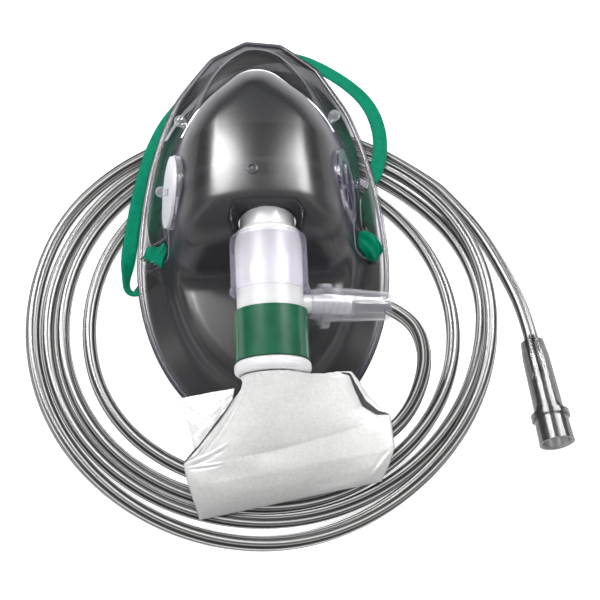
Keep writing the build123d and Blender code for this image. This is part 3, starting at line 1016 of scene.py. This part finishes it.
# ---- reservoir bag ----
# Stations from the neck to the folded bottom edge: share, left edge, right edge, rise of the
# front layer, drop of the back layer, forward bow, and how far the back layer stands out on the right.
BAG = [
    (0.00, (-10.5, -58.8, 32.2), (10.5, -58.8, 32.2), 10.7, 10.5, 0.0, 0.0),
    (0.03, (-10.0, -59.6, 31.4), (11.0, -59.4, 31.6), 10.2, 9.6, 0.3, 0.0),
    (0.08, (-10.6, -60.6, 28.2), (15.0, -58.4, 29.2), 10.6, 9.0, 1.6, 0.0),
    (0.16, (-12.2, -61.3, 24.2), (22.5, -55.0, 26.0), 9.2, 8.0, 3.2, 0.3),
    (0.24, (-14.6, -63.6, 20.0), (27.6, -54.4, 21.8), 7.6, 6.8, 4.6, 1.8),
    (0.32, (-17.2, -66.4, 16.2), (29.6, -58.4, 17.6), 6.6, 5.4, 5.6, 3.6),
    (0.41, (-20.6, -70.2, 12.9), (31.8, -62.4, 14.2), 5.8, 4.2, 6.0, 4.4),
    (0.50, (-25.0, -75.0, 10.5), (36.4, -64.8, 12.0), 4.9, 3.4, 5.4, 3.2),
    (0.57, (-28.8, -78.4, 9.2), (41.0, -65.0, 11.2), 4.3, 3.0, 4.6, 0.6),
    (0.66, (-28.2, -81.6, 8.6), (41.4, -69.5, 10.4), 4.2, 2.6, 3.4, 0.0),
    (0.78, (-27.0, -86.4, 7.7), (41.8, -76.2, 9.4), 4.0, 2.2, 1.8, 0.0),
    (0.90, (-25.4, -91.6, 6.8), (39.6, -81.6, 8.2), 2.6, 1.5, 0.6, 0.0),
    (0.97, (-24.2, -95.2, 6.0), (37.4, -85.4, 6.9), 1.2, 0.7, 0.1, 0.0),
    (1.00, (-23.8, -96.8, 5.7), (36.8, -86.8, 6.3), 0.25, 0.0, 0.0, 0.0)]


def station(at):
    """All the bag's measures at a share of its length, eased between the stations."""
    keys = np.array([row[0] for row in BAG])
    table = np.array([list(row[1]) + list(row[2]) + list(row[3:]) for row in BAG])
    fine = np.linspace(0, 1, 801)
    out = []
    fade = np.clip(np.minimum(fine, 1 - fine) / 0.03, 0, 1)
    for column in table.T:
        line = np.interp(fine, keys, column)
        out.append(np.interp(at, fine, line * (1 - fade) + smoothed(line, 16) * fade))
    return np.array(out).T


def smooth_noise(rng, shape, cells):
    """Smooth random field over a grid, made of a few waves of random direction."""
    u, v = np.meshgrid(np.linspace(0, 1, shape[1]), np.linspace(0, 1, shape[0]))
    total = np.zeros(shape)
    for _ in range(7):
        fu, fv = rng.normal(0, cells[0]), rng.normal(0, cells[1])
        total += np.cos(TURN * (fu * u + fv * v) + rng.uniform(0, TURN))
    return total / 7


# Straight creases in the front layer: (across, along) where each starts and ends, height and width.
BAG_CREASES = [
    ((0.04, 0.10), (0.035, 0.55), 0.75, 0.012), ((0.09, 0.14), (0.07, 0.50), 0.35, 0.012),
    ((0.01, 0.575), (0.17, 0.44), 0.55, 0.012), ((0.02, 0.585), (0.14, 0.50), 0.40, 0.009),
    ((0.02, 0.60), (0.20, 0.60), 0.35, 0.012), ((0.66, 0.10), (0.93, 0.24), 0.50, 0.020),
    ((0.985, 0.79), (0.93, 0.965), 0.40, 0.016), ((0.30, 0.04), (0.22, 0.26), 0.40, 0.018),
    ((0.74, 0.05), (0.84, 0.30), 0.40, 0.018)]


def bend_with_neck(piece):
    """Bake the piece's placement into its points."""
    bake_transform(piece)


def straight_crease(t, v, start, end, height, width):
    """A crease between two places on a layer, raised and then dipped across."""
    length = math.dist(start, end)
    dt, dv = (end[0] - start[0]) / length, (end[1] - start[1]) / length
    t, v = t[None, :] - start[0], v[:, None] - start[1]
    along, off = t * dt + v * dv, v * dt - t * dv
    window = np.clip(along / 0.04, 0, 1) * np.clip((length - along) / 0.06, 0, 1)
    return height * window * (bell(off, 0, width) - 0.7 * bell(off, 1.6 * width, width))


def front_relief(v, t):
    """What pleats, folds and creases add to the smooth front layer, by share along and across."""
    rng = np.random.default_rng(11)
    shape = (len(v), len(t))
    near_neck = bell(v, 0.07, 0.10)[:, None] * np.minimum(v / 0.04, 1)[:, None]
    pleats = 0.42 * near_neck * np.cos(TURN * (9.5 * t[None, :] + 1.6 * v[:, None]))
    pleats += 0.55 * near_neck * smooth_noise(rng, shape, (5, 1.0))
    body = np.clip((v - 0.08) / 0.25, 0, 1)[:, None] * np.clip((1 - v) / 0.06, 0, 1)[:, None]
    folds = 1.2 * smooth_noise(rng, shape, (1.3, 1.2)) + 0.30 * smooth_noise(rng, shape, (3, 2.4))
    edge_fade = np.clip(np.minimum(t, 1 - t) / 0.06, 0, 1)[None, :]
    creases = sum(straight_crease(t, v, *crease) for crease in BAG_CREASES)
    return (pleats + body * folds) * edge_fade + creases


def make_bag():
    """The bag as closed loops from the neck down: front layer, gusset on the right, back layer."""
    rows, front, back, fold = 170, 200, 90, 14
    v = np.linspace(0, 1, rows)
    data = station(v)
    lean = np.array([LEAN, 0, 0]) * np.clip((0.44 - v) / 0.30, 0, 1)[:, None]
    left, right = data[:, :3] + lean, data[:, 3:6] + lean * np.clip((0.20 - v) / 0.15, 0, 1)[:, None]
    rise, drop, bow, stand = data[:, 6:10].T[:, :, None]
    blunt = np.interp(v, (0, 0.1, 0.35, 1), (1.0, 0.9, 0.62, 0.5))[:, None]
    spread = np.interp(v, (0, 0.04, 0.2), (1, 0.8, 0))[:, None]
    at_ring = bell(v, 0, 0.03)[:, None]
    ring_up = np.array(AXIS_UP) * at_ring[:, :, None]
    lip = np.clip(stand / 3.0, 0, 1)

    def layer(t, far_right):
        """Straight lines from edge to edge, crowded to the edges at the round neck, and their arch."""
        share = t[None, :] * (1 - spread) + (0.5 - 0.5 * np.cos(math.pi * t))[None, :] * spread
        line = left[:, None, :] + (far_right - left)[:, None, :] * share[:, :, None]
        return line, np.sin(math.pi * t)[None, :] ** blunt

    t = np.linspace(0, 1, front)
    line, arch = layer(t, right)
    top = line + ring_up * (rise * arch)[:, :, None]
    top[:, :, 1] -= (1 - at_ring) * bow * arch
    top[:, :, 2] += (1 - at_ring) * (rise * arch + front_relief(v, t)) - lip * 1.2 * bell(t, 1, 0.05)[None, :]

    outward = np.array([0.66, 0.75, -0.10])
    back_right = right + stand * outward + np.array([0, 0, 0.9]) * lip
    line, arch = layer(np.linspace(1, 0, back), back_right)
    low = line - ring_up * (drop * arch)[:, :, None]
    low[:, :, 2] -= (1 - at_ring) * drop * arch

    tucked = right + np.array([-2.5, -1.5, -2.6]) * lip
    gusset = []
    for share in np.linspace(0, 1, fold + 2)[1:-1]:
        w = math.sin(math.pi * share) ** 0.8
        gusset.append((top[:, -1] * (1 - share) + back_right * share) * (1 - w) + tucked * w)
    loop = np.concatenate([top, np.stack(gusset, 1), low[:, 1:-1]], axis=1)
    cols = loop.shape[1]
    faces = grid_faces(rows, cols)
    faces.append(tuple(range((rows - 1) * cols, rows * cols)))
    bag = mesh_object("bag_film_fold", loop.reshape(-1, 3) * MM, faces)
    bag.data.materials.append(FILM)
    # The second slot is dark painted shade, given to the gusset's faces below.
    bag.data.materials.append(BAG_SHADE)
    for poly in bag.data.polygons[:-1]:
        column, row = poly.index % cols, poly.index // cols
        if front + 1 <= column <= front + fold - 2 and stand[row, 0] > 0.9:
            poly.material_index = 1
    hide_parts("reservoir_bag")
    bend_with_neck(bag)


def make_flap():
    """The corner of the back layer that stands out beyond the front one on the left."""
    rows, cols = 60, 60
    rng = np.random.default_rng(5)
    corners = np.array([[-30.2, -55.4, 9.6], [-11.0, -54.2, 13.6], [-14.0, -68.5, 11.8], [-24.9, -74.5, 8.8]])
    u, v = np.meshgrid(np.linspace(0, 1, cols), np.linspace(0, 1, rows))
    sheet = ((1 - u) * (1 - v))[..., None] * corners[0] + (u * (1 - v))[..., None] * corners[1]
    sheet = sheet + (u * v)[..., None] * corners[2] + ((1 - u) * v)[..., None] * corners[3]
    sheet[..., 0] += 0.5 * np.sin(math.pi * v) * (1 - u)
    sheet[..., 2] += 0.35 * smooth_noise(rng, (rows, cols), (1.5, 1.5))
    sheet[..., 2] += 0.12 * smooth_noise(rng, (rows, cols), (6, 5))
    sheet[..., 2] += 0.6 * np.sin(math.pi * u) * np.sin(math.pi * v)
    flap = mesh_object("bag_film_flap", sheet.reshape(-1, 3) * MM, grid_faces(rows, cols, close_cols=False))
    solid = flap.modifiers.new("layers", "SOLIDIFY")
    solid.thickness = 0.0005
    # The flap takes the darker copy of the film, as painted shade.
    paint(flap, FILM_BACK_SHADED)
    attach(flap, "root")


CREASE_ROUTES = {
    "neck": [(-10.3, -61.6, 24.6), (-13.3, -64.0, 20.2), (-16.7, -66.8, 16.4), (-20.7, -70.5, 13.1),
             (-25.2, -75.2, 10.7)],
    "notch": [(-28.6, -78.3, 9.4), (-25.4, -75.8, 12.4), (-21.6, -72.8, 14.4)]}


def make_creases():
    """Pinched creases where the film turns under, down the left edge and by its notch, drawn as thin strands
    of dark painted shade.
    """
    for name, route in CREASE_ROUTES.items():
        line = spline_points(name + "_crease_line", mm(route), 12)
        share = np.linspace(0, 1, len(line))
        crease = swept(name + "_crease", line, ring_outline(0.00030, 8), wide=0.25 + np.sin(math.pi * share))
        paint(crease, BAG_SHADE)
        if name == "neck":
            bend_with_neck(crease)
        else:
            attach(crease, "root")


make_bag()
make_flap()
make_creases()
